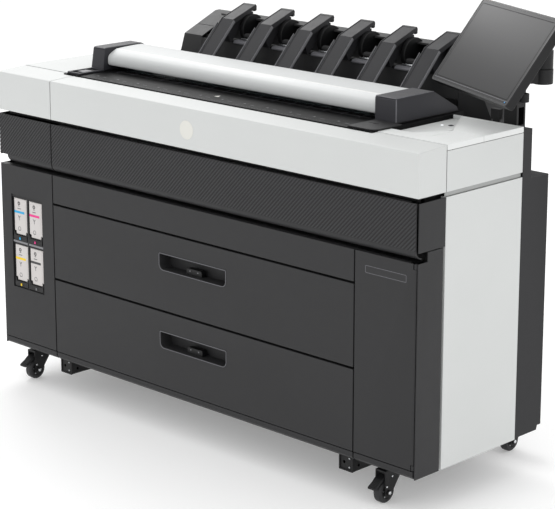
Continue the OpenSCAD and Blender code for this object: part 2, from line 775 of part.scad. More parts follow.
base_frame();
main_chassis();
caster_fork(swivel_x[0], swivel_y[0]);  // caster_fork_front_left
caster_fork(swivel_x[1], swivel_y[0]);  // caster_fork_front_right
caster_fork(swivel_x[0], swivel_y[1]);  // caster_fork_rear_left
caster_fork(swivel_x[1], swivel_y[1]);  // caster_fork_rear_right
caster_wheel(swivel_x[0], swivel_y[0]);  // caster_wheel_front_left
caster_wheel(swivel_x[1], swivel_y[0]);  // caster_wheel_front_right
caster_wheel(swivel_x[0], swivel_y[1]);  // caster_wheel_rear_left
caster_wheel(swivel_x[1], swivel_y[1]);  // caster_wheel_rear_right
brake_pedal(swivel_x[0]);  // brake_pedal_left
brake_pedal(swivel_x[1]);  // brake_pedal_right
drawer_front(drawer_z[0]);  // drawer_front_lower
drawer_front(drawer_z[1]);  // drawer_front_upper
drawer_tray(drawer_z[0]);  // drawer_tray_lower
drawer_tray(drawer_z[1]);  // drawer_tray_upper
spindle(drawer_z[0]);  // spindle_lower
spindle(drawer_z[1]);  // spindle_upper
paper_roll(drawer_z[0]);  // paper_roll_lower
paper_roll(drawer_z[1]);  // paper_roll_upper
left_front_panel();
ink_bay();
ink_cartridge(cart_x[0], cart_z[1]);  // ink_cartridge_cyan
ink_cartridge(cart_x[1], cart_z[1]);  // ink_cartridge_magenta
ink_cartridge(cart_x[0], cart_z[0]);  // ink_cartridge_yellow
ink_cartridge(cart_x[1], cart_z[0]);  // ink_cartridge_black
right_front_door();
corner_panels();
plinth_strip();
upper_front_panel();
side_panels();
back_cover();
print_zone_cover();
band_end_panels();
front_cover();
upper_side_housings();
top_right_lids();
scanner_bed();
scanner_glass();
scanner_end_caps();
scanner_lid();
scanner_roller();
platen();
feed_roller();
carriage_rail();
print_carriage();
drive_belt();
belt_pulley();
service_station();
electronics_box();
cooling_fan();
power_button();
stacker_trough();
stacker_arms();
stacker_roller();
screen_post();
screen_arm();
screen_yoke();
screen_shell();
screen_glass();
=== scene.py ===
"""Looks of a large format plotter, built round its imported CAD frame.

Pieces are written in millimetres in the machine's own frame: X from the left side,
Y from the front face, Z up from the floor. Screen pieces use the screen's frame:
X along its top edge, Y to its back, Z up its face, from the tilt axis.
"""

import json
import math

import bmesh
import bpy
from mathutils import Matrix, Vector


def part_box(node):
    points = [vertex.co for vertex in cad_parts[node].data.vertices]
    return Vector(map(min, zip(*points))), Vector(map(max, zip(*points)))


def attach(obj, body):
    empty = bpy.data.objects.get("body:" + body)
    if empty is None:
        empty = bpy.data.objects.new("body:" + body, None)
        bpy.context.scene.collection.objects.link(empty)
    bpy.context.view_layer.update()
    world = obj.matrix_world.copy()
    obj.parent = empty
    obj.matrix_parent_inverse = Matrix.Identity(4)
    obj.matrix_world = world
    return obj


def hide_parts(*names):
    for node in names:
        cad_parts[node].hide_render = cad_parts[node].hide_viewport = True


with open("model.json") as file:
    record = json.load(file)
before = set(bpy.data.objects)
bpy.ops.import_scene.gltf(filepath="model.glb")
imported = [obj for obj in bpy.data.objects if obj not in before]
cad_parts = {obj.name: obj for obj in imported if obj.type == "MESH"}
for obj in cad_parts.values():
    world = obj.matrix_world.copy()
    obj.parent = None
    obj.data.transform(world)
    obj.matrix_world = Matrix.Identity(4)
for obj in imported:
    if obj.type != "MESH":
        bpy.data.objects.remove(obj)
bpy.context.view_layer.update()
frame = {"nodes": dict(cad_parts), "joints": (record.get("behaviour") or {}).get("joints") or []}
NODES = frame["nodes"]
JOINTS = {j["name"]: j for j in frame["joints"]}
MACHINE = "machine_body"
ORIGIN = Vector((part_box("side_panels")[0].x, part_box("front_cover")[0].y, 0))
MM = 0.001
SHARP_DEG = 32


# ---- materials ----

# Scales of the slow changes of colour and of gloss, and the height of the surface grain in metres
COLOUR_SCALE, GLOSS_SCALE, GRAIN_HEIGHT = 5.0, 38.0, 0.0006


def linear(code):
    """sRGB hex string to linear RGBA."""
    channels = [int(code[i : i + 2], 16) / 255 for i in (0, 2, 4)]
    return (*[c / 12.92 if c <= 0.04045 else ((c + 0.055) / 1.055) ** 2.4 for c in channels], 1)


def scaled(colour, k):
    """The colour made darker or lighter by a factor."""
    return (*[min(1, c * k) for c in colour[:3]], 1)


def node(tree, kind, **values):
    made = tree.nodes.new(kind)
    for key, value in values.items():
        setattr(made, key, value)
    return made


def shader(name, roughness, metallic=0.0, specular=0.5):
    mat = bpy.data.materials.new(name)
    mat.use_nodes = True
    bsdf = mat.node_tree.nodes["Principled BSDF"]
    bsdf.inputs["Metallic"].default_value = metallic
    bsdf.inputs["Roughness"].default_value = roughness
    bsdf.inputs["Specular IOR Level"].default_value = specular
    return mat, mat.node_tree, bsdf


def noise(tree, coord, scale, detail=2.0, stretch=(1, 1, 1)):
    mapping = node(tree, "ShaderNodeMapping")
    mapping.inputs["Scale"].default_value = stretch
    tex = node(tree, "ShaderNodeTexNoise")
    tex.inputs["Scale"].default_value = scale
    tex.inputs["Detail"].default_value = detail
    tree.links.new(coord, mapping.inputs["Vector"])
    tree.links.new(mapping.outputs["Vector"], tex.inputs["Vector"])
    return tex.outputs["Fac"]


def ramp(tree, fac, low, high, start=0.3, end=0.7):
    made = node(tree, "ShaderNodeValToRGB")
    made.color_ramp.elements[0].position, made.color_ramp.elements[0].color = start, low
    made.color_ramp.elements[1].position, made.color_ramp.elements[1].color = end, high
    tree.links.new(fac, made.inputs["Fac"])
    return made.outputs["Color"]


def moulded(name, code, roughness, grain=1400, depth=0.05, mottle=0.05, specular=0.5, metallic=0.0,
            stretch=(1, 1, 1), edge=0.0):
    """Fine-grained plastic, paint or metal: grain in the bump, slow changes of colour and gloss,
    and a painted highlight that makes the convex edges slightly lighter."""
    mat, tree, bsdf = shader(name, roughness, metallic, specular)
    colour = linear(code)
    coord = node(tree, "ShaderNodeTexCoord").outputs["Object"]
    slow = noise(tree, coord, COLOUR_SCALE, 4.0)
    base = ramp(tree, slow, scaled(colour, 1 - mottle), scaled(colour, 1 + mottle))
    # Painted highlight: convex edges, found by pointiness, take a colour lighter by edge
    if edge:
        point = node(tree, "ShaderNodeNewGeometry").outputs["Pointiness"]
        edge_highlight = ramp(tree, point, (0, 0, 0, 1), (1, 1, 1, 1), 0.52, 0.62)
        mix = node(tree, "ShaderNodeMix", data_type="RGBA")
        tree.links.new(edge_highlight, mix.inputs["Factor"])
        tree.links.new(base, mix.inputs["A"])
        mix.inputs["B"].default_value = scaled(colour, 1 + edge)
        base = mix.outputs["Result"]
    tree.links.new(base, bsdf.inputs["Base Color"])
    gloss = node(tree, "ShaderNodeMapRange")
    gloss.inputs["To Min"].default_value = roughness - 0.05
    gloss.inputs["To Max"].default_value = roughness + 0.06
    tree.links.new(noise(tree, coord, GLOSS_SCALE, 3.0), gloss.inputs["Value"])
    tree.links.new(gloss.outputs["Result"], bsdf.inputs["Roughness"])
    bump = node(tree, "ShaderNodeBump")
    bump.inputs["Strength"].default_value = depth
    bump.inputs["Distance"].default_value = GRAIN_HEIGHT
    tree.links.new(noise(tree, coord, grain, 2.0, stretch), bump.inputs["Height"])
    tree.links.new(bump.outputs["Normal"], bsdf.inputs["Normal"])
    return mat


def even(name, code, roughness, specular):
    """Smooth surface without grain, such as a dark screen."""
    mat, _, bsdf = shader(name, roughness, 0.0, specular)
    bsdf.inputs["Base Color"].default_value = linear(code)
    return mat


def clear_glass(name, code, alpha):
    mat, tree, bsdf = shader(name, 0.06, 0.0, 0.5)
    coord = node(tree, "ShaderNodeTexCoord").outputs["Object"]
    tint = ramp(tree, noise(tree, coord, 9.0), scaled(linear(code), 0.94), linear(code))
    tree.links.new(tint, bsdf.inputs["Base Color"])
    bsdf.inputs["Alpha"].default_value = alpha
    return mat


def lamp(name, code, strength):
    """Small lamp that glows in its own colour."""
    mat, _, bsdf = shader(name, 0.3)
    bsdf.inputs["Base Color"].default_value = linear(code)
    bsdf.inputs["Emission Color"].default_value = linear(code)
    bsdf.inputs["Emission Strength"].default_value = strength
    return mat


# edge sets the painted highlight on the convex edges of a material
PANEL = moulded("charcoal_panel", "29292a", 0.50, 1700, 0.10, 0.035, 0.25, edge=0.25)
# Lit and shaded copies of one charcoal for the ribs: painted light on the crests, painted shade on the slopes
# and grooves
RIB_PAINTED_SHADE = moulded("ribbed_charcoal", "1e1e1f", 0.50, 1700, 0.06, 0.03, 0.3)
RIB_PAINTED_LIGHT = moulded("ribbed_charcoal_painted_light", "2e2e30", 0.48, 1700, 0.06, 0.03, 0.35)
BOX = moulded("charcoal_box", "333334", 0.60, 2200, 0.16, 0.04, 0.08, edge=0.2)
METAL = moulded("charcoal_paint", "2a2a2b", 0.52, 2200, 0.16, 0.04, 0.25, edge=0.25)
ARM = moulded("charcoal_arm", "2a2a2c", 0.5, 2000, 0.14, 0.04, 0.2, edge=0.35)
BED = moulded("black_bed", "0a0a0b", 0.42, 1900, 0.06, 0.06, 0.08, edge=0.3)
# Grey for the gaps beside the band: painted shade over the white flanges there
GAP_PAINTED_SHADE = moulded("grey_painted_shade_strip", "a5a7a6", 0.55, 1800, 0.05, 0.01, 0.3)
BLACK = moulded("black_plastic", "101011", 0.42, 1900, 0.10, 0.06, 0.3, edge=0.3)
CAST = moulded("black_powder_coat", "141415", 0.52, 2600, 0.30, 0.08, 0.3, edge=0.4)
HOUSING = moulded("grey_cap", "303034", 0.48, 1800, 0.12, 0.04, 0.28, edge=0.3)
STRIP = moulded("grey_strip", "5c5c60", 0.40, 1800, 0.08, 0.04, 0.4, edge=0.2)
WHITE = moulded("white_cover", "c6c8c7", 0.46, 1800, 0.07, 0.012, 0.35)
# Lighter copy of the white cover for the top lids: painted light on their upward faces
WHITE_PAINTED_LIT = moulded("white_painted_lit_top", "d9dbda", 0.46, 1800, 0.07, 0.012, 0.35)
LID = moulded("white_gloss_cover", "c2c4c4", 0.40, 1500, 0.03, 0.01, 0.4)
STEEL = moulded("brushed_steel", "a9abae", 0.34, 420, 0.10, 0.05, 0.5, 1.0, (0.03, 1, 1))
BRIGHT = moulded("bright_steel", "d2d4d6", 0.24, 900, 0.03, 0.03, 0.5, 1.0)
RUBBER = moulded("roller_rubber", "1a1a1b", 0.75, 2400, 0.35, 0.10, 0.3)
TREAD = moulded("wheel_tread", "242426", 0.55, 1500, 0.20, 0.08, 0.4)
PAPER = moulded("paper", "f4f4f1", 0.85, 1300, 0.06, 0.015, 0.2)
CARTRIDGE = moulded("cartridge_shell", "c6c2c0", 0.42, 1500, 0.05, 0.012, 0.45)
BEZEL = moulded("grey_bezel", "77777a", 0.34, 1500, 0.05, 0.04, 0.5)
MARK = moulded("grey_mark", "6f7072", 0.55, 1500, 0.03, 0.03, 0.4)
PALE = moulded("pale_disc", "d5d4ce", 0.5, 1500, 0.03, 0.01, 0.3)
CYAN = moulded("cyan_strip", "1f9fd2", 0.45, 1500, 0.03, 0.03)
MAGENTA = moulded("magenta_strip", "e02e86", 0.45, 1500, 0.03, 0.03)
YELLOW = moulded("yellow_strip", "e8c410", 0.45, 1500, 0.03, 0.03)
INK = moulded("black_strip", "2f2f31", 0.45, 1500, 0.03, 0.03)
DISPLAY = even("display_glass", "161618", 0.3, 0.2)
BORDER = moulded("display_border", "1c1c1e", 0.3, 900, 0.01, 0.03, 0.3)
GLASS = clear_glass("scan_glass", "9fb0b4", 0.35)
BLUE = lamp("blue_lamp", "2f7fb8", 0.5)
GLOW = lamp("white_lamp", "f4f8ff", 0.8)


# ---- mesh building ----


def rounded(x0, x1, z0, z1, radii, steps=5):
    """Outline of a rectangle with radii at its low left, low right, top right and top left corner.
    One number stands for four equal radii."""
    radii = radii if isinstance(radii, tuple) else (radii,) * 4
    corners = [(x0, z0, 1, 1, 180), (x1, z0, -1, 1, 270), (x1, z1, -1, -1, 0), (x0, z1, 1, -1, 90)]
    points = []
    for (x, z, sx, sz, start), r in zip(corners, radii):
        for i in range(steps + 1):
            a = math.radians(start + 90 * i / steps)
            points.append((x + sx * r + r * math.cos(a), z + sz * r + r * math.sin(a)))
    return points


def circle(x, z, r, count=24):
    return [(x + r * math.cos(2 * math.pi * i / count), z + r * math.sin(2 * math.pi * i / count))
            for i in range(count)]


class Piece:
    """Collects shapes into one mesh, and then makes an object that rides on a body."""

    def __init__(self, name):
        self.name, self.bm, self.mats = name, bmesh.new(), []

    def ring(self, axis, outline, at):
        """Vertices of an outline that stands across the axis."""
        place = "xyz".index(axis)
        return [self.bm.verts.new((*p[:place], at, *p[place:])) for p in outline]

    def paint(self, faces, mat):
        if mat not in self.mats:
            self.mats.append(mat)
        for f in faces:
            f.material_index = self.mats.index(mat)

    def skin(self, rings, closed=False):
        """Faces between each ring and the next."""
        pairs = list(zip(rings, rings[1:])) + ([(rings[-1], rings[0])] if closed else [])
        return [self.bm.faces.new((a[i], a[(i + 1) % len(a)], b[(i + 1) % len(a)], b[i]))
                for a, b in pairs for i in range(len(a))]

    def prism(self, axis, outline, start, end, mat):
        """Solid with that outline, from start to end along the axis."""
        rings = [self.ring(axis, outline, at) for at in (start, end)]
        self.paint(self.skin(rings) + [self.bm.faces.new(r) for r in rings], mat)

    def taper(self, axis, sections, mat):
        """Solid through several (place, outline) sections with the same number of points."""
        rings = [self.ring(axis, outline, at) for at, outline in sections]
        self.paint(self.skin(rings) + [self.bm.faces.new(r) for r in (rings[0], rings[-1])], mat)

    def hoop(self, axis, outer, inner, start, end, mat):
        """Closed band between two outlines with the same number of points."""
        rings = [self.ring(axis, outer, start), self.ring(axis, outer, end),
                 self.ring(axis, inner, end), self.ring(axis, inner, start)]
        self.paint(self.skin(rings, True), mat)

    def box(self, low, high, mat):
        outline = [(low[0], low[1]), (high[0], low[1]), (high[0], high[1]), (low[0], high[1])]
        self.prism("z", outline, low[2], high[2], mat)

    def rod(self, axis, start, end, centre, r, mat, count=24):
        self.prism(axis, circle(*centre, r, count), start, end, mat)

    def dome(self, axis, start, end, centre, r, mat, count=20):
        """Low rounded screw or lamp head that stands from start to end."""
        steps = ((0, 1), (0.5, 0.96), (0.85, 0.75), (1, 0.4))
        self.taper(axis, [(start + up * (end - start), circle(*centre, across * r, count))
                          for up, across in steps], mat)

    def done(self, body, slot, bevel=0.5, segments=2, replaces=(), matrix=None, flat=False):
        """Makes the object, in metres, with a bevel in millimetres along its edges."""
        bmesh.ops.recalc_face_normals(self.bm, faces=self.bm.faces)
        self.bm.transform(matrix or Matrix.Translation(ORIGIN) @ Matrix.Scale(MM, 4))
        mesh = bpy.data.meshes.new(self.name)
        self.bm.to_mesh(mesh)
        self.bm.free()
        obj = bpy.data.objects.new(self.name, mesh)
        bpy.context.scene.collection.objects.link(obj)
        for mat in self.mats:
            mesh.materials.append(mat)
        if not flat:
            mesh.shade_smooth()
            mesh.set_sharp_from_angle(angle=math.radians(SHARP_DEG))
        if bevel:
            soften(obj, bevel, segments)
        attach(obj, body)
        if replaces:
            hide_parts(*replaces)


def soften(obj, width, segments=2, angle=34):
    """Rounds the edges, which gives each one its highlight."""
    bevel = obj.modifiers.new("edge", "BEVEL")
    bevel.width, bevel.segments = width * MM, segments
    bevel.limit_method, bevel.angle_limit = "ANGLE", math.radians(angle)
    bevel.use_clamp_overlap = True
    bevel.miter_outer = "MITER_ARC"
    shade = obj.modifiers.new("shade", "WEIGHTED_NORMAL")
    shade.keep_sharp = False


def soften_cad(name, width, segments=2):
    """Merges a CAD node's triangles into its real faces and rounds its edges."""
    obj = NODES[name]
    weld = obj.modifiers.new("weld", "WELD")
    weld.merge_threshold = 1e-6
    merge = obj.modifiers.new("faces", "DECIMATE")
    merge.decimate_type, merge.angle_limit = "DISSOLVE", math.radians(1.5)
    soften(obj, width, segments, SHARP_DEG)
    obj.modifiers["edge"].use_clamp_overlap = False


def assign(mat, *names):
    for name in names:
        obj = NODES[name]
        if not obj.material_slots:
            obj.data.materials.append(mat)
        for s in obj.material_slots:
            s.material = mat


# ---- CAD nodes that stay: their materials and edges ----

FRONT_PANELS = ["drawer_front_lower", "drawer_front_upper", "left_front_panel", "right_front_door",
                "corner_panels", "plinth_strip", "upper_front_panel", "print_zone_cover", "band_end_panels"]
CORNERS = ("front_left", "front_right", "rear_left", "rear_right")
FINISHES = {
    PANEL: FRONT_PANELS,
    BOX: ["back_cover"],
    METAL: ["stacker_trough"],
    ARM: ["stacker_arms"],
    WHITE: ["side_panels", "front_cover", "upper_side_housings"],
    WHITE_PAINTED_LIT: ["top_right_lids"],
    BED: ["scanner_bed"],
    BLACK: ["ink_bay", "service_station", "cooling_fan", "power_button", "print_carriage",
            "spindle_lower", "spindle_upper", "main_chassis"],
    HOUSING: ["scanner_end_caps"],
    CAST: ["base_frame", "brake_pedal_left", "brake_pedal_right", "screen_post", "screen_arm", "screen_yoke",
           "screen_shell"] + ["caster_fork_" + c for c in CORNERS],
    TREAD: ["caster_wheel_" + c for c in CORNERS],
    RUBBER: ["scanner_roller", "feed_roller", "stacker_roller", "drive_belt"],
    STEEL: ["drawer_tray_lower", "drawer_tray_upper", "platen", "carriage_rail", "belt_pulley",
            "electronics_box"],
    PAPER: ["paper_roll_lower", "paper_roll_upper"],
    GLASS: ["scanner_glass"],
    DISPLAY: ["screen_glass"],
    LID: ["scanner_lid"],
    CARTRIDGE: ["ink_cartridge_" + c for c in ("cyan", "magenta", "yellow", "black")],
}
for material, names in FINISHES.items():
    assign(material, *names)

# Radius of the rounded edges in millimetres. back_cover has none: its slots lie too close together.
EDGES = {
    0.8: FRONT_PANELS + ["stacker_trough", "stacker_arms", "screen_post", "power_button", "base_frame"],
    1.2: ["side_panels", "top_right_lids", "screen_arm", "screen_yoke", "upper_side_housings"],
    2.0: ["front_cover", "scanner_end_caps", "screen_shell"],
    0.5: ["scanner_bed", "ink_bay"],
}
for width, names in EDGES.items():
    for name in names:
        soften_cad(name, width, 3 if width >= 1.2 else 2)


# ---- ribbed band ----

RIB_PITCH, RIB_RISE, RIB_CREST, RIB_SLOPE, RIB_FOOT = 11.4, 1.2, 6.2, 1.2, 0.2
RIB_Z = (691, 807.6)


def ribbed_skin(name, x0, x1, body):
    """Skin of ribs that rise to the right at 45 degrees on the front of the band, closed at its back.
    Each rib's crest is painted lighter and its slopes and groove are painted darker: painted light and shade."""
    z0, z1 = RIB_Z
    piece = Piece(name)
    for mat in (RIB_PAINTED_LIGHT, RIB_PAINTED_SHADE):
        piece.paint([], mat)
    profile = [(0, RIB_RISE), (RIB_CREST - RIB_SLOPE, RIB_RISE), (RIB_CREST, RIB_FOOT),
               (RIB_PITCH - RIB_SLOPE, RIB_FOOT)]
    rows = []
    count = math.ceil((x1 - x0 + z1 - z0) / RIB_PITCH) + 2
    for i in range(count):
        foot = x0 - (z1 - z0) + RIB_PITCH * (i - 1)
        for step, depth in profile:
            rows.append([piece.bm.verts.new((foot + step + z - z0, -depth, z)) for z in (z0, z1)])
    for i, (a, b) in enumerate(zip(rows, rows[1:])):
        # Crests take the painted light, all other faces the painted shade
        crest = i % len(profile) == 0
        piece.bm.faces.new((a[0], b[0], b[1], a[1])).material_index = 0 if crest else 1
    for x, side in ((x0, -1), (x1, 1)):
        bmesh.ops.bisect_plane(piece.bm, geom=piece.bm.verts[:] + piece.bm.edges[:] + piece.bm.faces[:],
                               plane_co=(x, 0, 0), plane_no=(side, 0, 0), clear_outer=True)
    rim = [e for e in piece.bm.edges if e.is_boundary]
    made = bmesh.ops.extrude_edge_only(piece.bm, edges=rim)["geom"]
    for v in (g for g in made if isinstance(g, bmesh.types.BMVert)):
        v.co.y = 0.3
    bmesh.ops.contextual_create(piece.bm, geom=[g for g in made if isinstance(g, bmesh.types.BMEdge)])
    piece.done(body, "dark_panel", bevel=0, flat=True)


ribbed_skin("band_ribs", 240.5, 1593.5, "print_zone_cover_body")
ribbed_skin("band_ribs_left", 4.5, 235.5, MACHINE)


# ---- drawers ----

HANDLE_X, HANDLE_RISE, HANDLE_R = (687, 943), (114.5, 158.5), 14


def drawer_details(which, z):
    """Bezel with a painted highlight, smooth cup, latch and screws of the drawer whose front starts at height
    z.
    """
    low, high = z + HANDLE_RISE[0], z + HANDLE_RISE[1]

    def grown(d, top_r=2):
        """Outline of the handle, larger by d all round."""
        return rounded(HANDLE_X[0] - d, HANDLE_X[1] + d, low - d, high + d,
                       (HANDLE_R + d, HANDLE_R + d, top_r + d, top_r + d))

    body = "drawer_" + which
    bezel = Piece("handle_bezel_painted_highlight_" + which)
    # Light grey ring round the opening: painted highlight on its rim; a black ring round it
    bezel.hoop("y", grown(2.4), grown(0.2), -0.7, 2.5, STRIP)
    bezel.hoop("y", grown(3.8), grown(2.9), -0.1, 1.0, BLACK)
    bezel.done(body, "dark_panel", 0.35)
    cup = Piece("handle_cup_" + which)
    inner, slim = grown(-1, 2), grown(-0.3, 1.3)
    rings = [cup.ring("y", slim, 0.6), cup.ring("y", slim, 38.6),
             cup.ring("y", inner, 37.6), cup.ring("y", inner, 0.6)]
    faces = cup.skin(rings[:2]) + cup.skin(rings[2:]) + cup.skin([rings[3], rings[0]])
    cup.paint(faces + [cup.bm.faces.new(rings[1]), cup.bm.faces.new(rings[2])], METAL)
    # Latch with its two screws on the floor of the cup
    cup.prism("y", rounded(780, 838, low + 0.6, low + 18, (1, 1, 5, 5)), 14, 30, BLACK)
    cup.done(body, "black_plastic", 0.4)
    screws = Piece("handle_screws_" + which)
    for x in (794, 824):
        screws.dome("y", 14.2, 12.2, (x, low + 12), 2.2, BEZEL, 16)
    screws.done(body, "bare_steel", 0)


drawer_details("lower", 135.5)
drawer_details("upper", 357)


# ---- ink module ----

CART_X, CART_Z = (54, 123), (316, 456)
CARTRIDGES = {"cyan": (CART_X[0], CART_Z[1], CYAN), "magenta": (CART_X[1], CART_Z[1], MAGENTA),
              "yellow": (CART_X[0], CART_Z[0], YELLOW), "black": (CART_X[1], CART_Z[0], INK)}
for colour, (x, z, strip) in CARTRIDGES.items():
    # Shell with rounded corners, a notched foot and a shallow face panel
    shell = Piece("cartridge_face_" + colour)
    foot = [(x + 1, z + 12), (x + 7, z + 9), (x + 9, z + 1), (x + 49, z + 1), (x + 51, z + 9), (x + 57, z + 12)]
    face = foot + [(x + 57, z + 102), (x + 53, z + 106), (x + 5, z + 106), (x + 1, z + 102)]
    shell.prism("y", face, 5.0, 9, CARTRIDGE)
    shell.prism("y", rounded(x + 6, x + 52, z + 14, z + 101, 4), 4.5, 6, CARTRIDGE)
    shell.done("ink_cartridge_%s_body" % colour, "cartridge_shell", 0.5)
    # Coloured strip, and shapes without meaning where the label is
    marks = Piece("cartridge_marks_" + colour)
    marks.prism("y", rounded(x + 2, x + 47, z + 63, z + 69.8, 0.5, 1), 4.1, 5.2, strip)
    marks.hoop("y", circle(x + 23, z + 93, 5.4), circle(x + 23, z + 93, 2.4), 4.2, 5.2, INK)
    marks.box((x + 20, 4.2, z + 84), (x + 26, 5.2, z + 86), INK)
    marks.box((x + 16, 4.2, z + 76), (x + 31, 5.2, z + 78.5), MARK)
    marks.prism("y", [(x + 17, z + 56), (x + 22, z + 49), (x + 22, z + 42), (x + 24, z + 42), (x + 24, z + 49),
                      (x + 29, z + 56), (x + 26, z + 56), (x + 23, z + 52), (x + 20, z + 56)], 4.2, 5.2, MARK)
    marks.hoop("y", circle(x + 23, z + 17, 6.4), circle(x + 23, z + 17, 5.0), 4.2, 5.2, MARK)
    marks.done("ink_cartridge_%s_body" % colour, "cartridge_shell", 0)

bay = Piece("ink_bay_trim")
for z in CART_Z:
    for x in CART_X:
        # Holder under each cartridge: sill, two ears and a release latch
        bay.box((x - 1, 1.5, z - 17), (x + 59, 12, z - 3), BLACK)
        for ear, tip in ((x - 1, 0), (x + 50, 8)):
            bay.prism("y", [(ear, z - 4), (ear + 9, z - 4), (ear + tip + 1, z + 9), (ear + tip, z + 9)],
                      2.5, 5.5, BLACK)
        bay.prism("x", [(0.6, z - 14), (8, z - 14), (8, z - 5), (2.5, z - 6)], x + 21, x + 37, BLACK)
bay.box((48.6, 3, 430), (187.4, 8, 436), BEZEL)
bay.box((114.5, 3, 296), (120.5, 8, 573), PANEL)
bay.box((48.6, 2.5, 566.5), (187.4, 8, 573.5), BLACK)
bay.done(MACHINE, "black_plastic", 0.6)
tabs = Piece("ink_bay_marks")
for colour, (x, z, strip) in CARTRIDGES.items():
    tabs.box((x + 25.5, 0.2, z - 15), (x + 31, 1.2, z - 8), strip if colour != "black" else MARK)
tabs.done(MACHINE, "cartridge_shell", 0.2)


# ---- right door, badge and casing details ----

plate = Piece("blank_plate")
plate.hoop("y", rounded(1434, 1566, 609, 628, 3), rounded(1435.2, 1564.8, 610.2, 626.8, 2), -0.4, 0.3, STRIP)
plate.prism("y", rounded(1435.5, 1564.5, 610.5, 626.5, 2), -0.2, 0.3, METAL)
plate.done("right_front_door_body", "dark_panel", 0)

# Grey sheets laid over the white flanges in the gaps beside the band: painted shade of those recesses
strips = Piece("side_gap_painted_shade")
for x0, x1 in ((5.2, 6.2), (1593.8, 1594.8)):
    strips.box((x0, 104.5, 804), (x1, 398.5, 819), GAP_PAINTED_SHADE)
strips.done(MACHINE, "white_cover", 0)

badge = Piece("blank_badge")
badge.taper("y", [(y, circle(800, 872, r, 48)) for y, r in ((0.3, 25.5), (-0.6, 25.3), (-0.9, 24.6))], PALE)
badge.done(MACHINE, "white_cover", 0)


# ---- scanner ----

BED_TOP = 937.8
lid = Piece("scanner_bar")
lid.prism("x", [(214, 951.5), (209, 953.5), (206, 958), (205.2, 966), (206, 975), (209.5, 981.5),
                (216, 986.5), (226, 992), (236, 996.4), (239, 997.2), (262, 998.6), (300, 1000),
                (334, 1000.4), (341, 997.5), (343, 990), (343, 956), (338, 951.5)], 252, 1283, LID)
lid.done("scanner_lid_body", "white_cover", 0.8, 2, replaces=["scanner_lid"])
# Fine raised line along the bar's ridge, in near-white that paints the ridge's highlight
ridge_highlight = Piece("scanner_bar_painted_highlight")
ridge_highlight.prism("x", [(238, 996.6), (239.2, 998.0), (240.6, 997.4)], 253, 1282, PAPER)
ridge_highlight.done("scanner_lid_body", "white_cover", 0)

cap = Piece("scanner_cap_trim")
# Raised shoulders of both caps, and a shadow line under the right one
cap.prism("x", [(197, 1001.2), (199, 1003), (338, 1003), (344, 1000.5), (344, 999), (199, 999)],
          1287, 1355, HOUSING)
cap.prism("x", [(197, 1000.5), (204, 1003), (338, 1003), (346, 1000), (346, 998), (200, 998)],
          200, 248, HOUSING)
cap.box((1283.5, 194.5, 938.3), (1358.5, 440, 941), BLACK)
cap.done(MACHINE, "black_plastic", 1.0, 3)
# Fine light grey rods along the edges of the caps: painted highlights on those edges
highlight_rods = Piece("scanner_cap_painted_highlights")
highlight_rods.rod("z", 942, 999, (1356, 196.5), 1.7, STRIP, 12)
highlight_rods.rod("x", 1288, 1356, (197.4, 1001.6), 1.1, STRIP, 10)
highlight_rods.rod("x", 202, 247, (198.6, 1001), 1.0, STRIP, 10)
highlight_rods.rod("y", 198, 340, (1356, 1002.2), 0.9, STRIP, 10)
highlight_rods.done(MACHINE, "dark_panel", 0)

# Framed pad before the left cap, and a flat one with a slot before the right cap
pads = Piece("scanner_pads")
pads.hoop("z", rounded(206.5, 261, 91, 186, 4), rounded(213, 254, 97, 178, 3), 939.5, 944, HOUSING)
pads.prism("z", rounded(220, 247, 118, 150, 3), 939.5, 943, STRIP)
pads.prism("z", rounded(1290, 1380, 89, 192, (3, 22, 3, 3)), 939.6, 942.2, METAL)
pads.prism("z", rounded(1306, 1336, 150, 156, 2), 942, 942.5, BED)
pads.done(MACHINE, "black_plastic", 0.7)

# Scale along the front of the bed, with small arrows and dashes behind it
ruler = Piece("scanner_ruler")
mark_top = BED_TOP + 0.45
for i in range(99):
    x = 285 + i * 10
    length = 9 if i % 10 == 0 else (6 if i % 5 == 0 else 3.5)
    ruler.box((x, 96, BED_TOP), (x + 0.9, 96 + length, mark_top), MARK)
for i in range(12):
    x = 300 + i * 84
    ruler.prism("z", [(x, 122), (x + 8, 122), (x + 4, 130)], BED_TOP, mark_top, MARK)
    ruler.box((x + 30, 118, BED_TOP), (x + 46, 119.5, mark_top), MARK)
ruler.prism("z", [(760, 140), (776, 140), (768, 156)], BED_TOP, BED_TOP + 0.5, PALE)
ruler.done(MACHINE, "black_plastic", 0)

# Low ribs that carry the sheet under the bar, and a steel edge behind them
guide = Piece("scanner_guides")
for i in range(16):
    x = 300 + i * 62
    guide.prism("x", [(196, 937.9), (199, 939.4), (231, 939.4), (234, 937.9)], x, x + 3, HOUSING)
guide.box((288, 311, BED_TOP), (1262, 314, 939), STEEL)
guide.done(MACHINE, "black_plastic", 0.3)

button = Piece("power_lamp")
button.hoop("z", circle(1431, 321, 7.4), circle(1431, 321, 5.3), 926.9, 927.5, STRIP)
button.done(MACHINE, "white_cover", 0.15)
spot = Piece("status_lamp")
spot.dome("z", 926.9, 928.2, (1411, 310), 3.4, GLOW)
spot.done(MACHINE, "white_cover", 0)


# ---- stacker ----

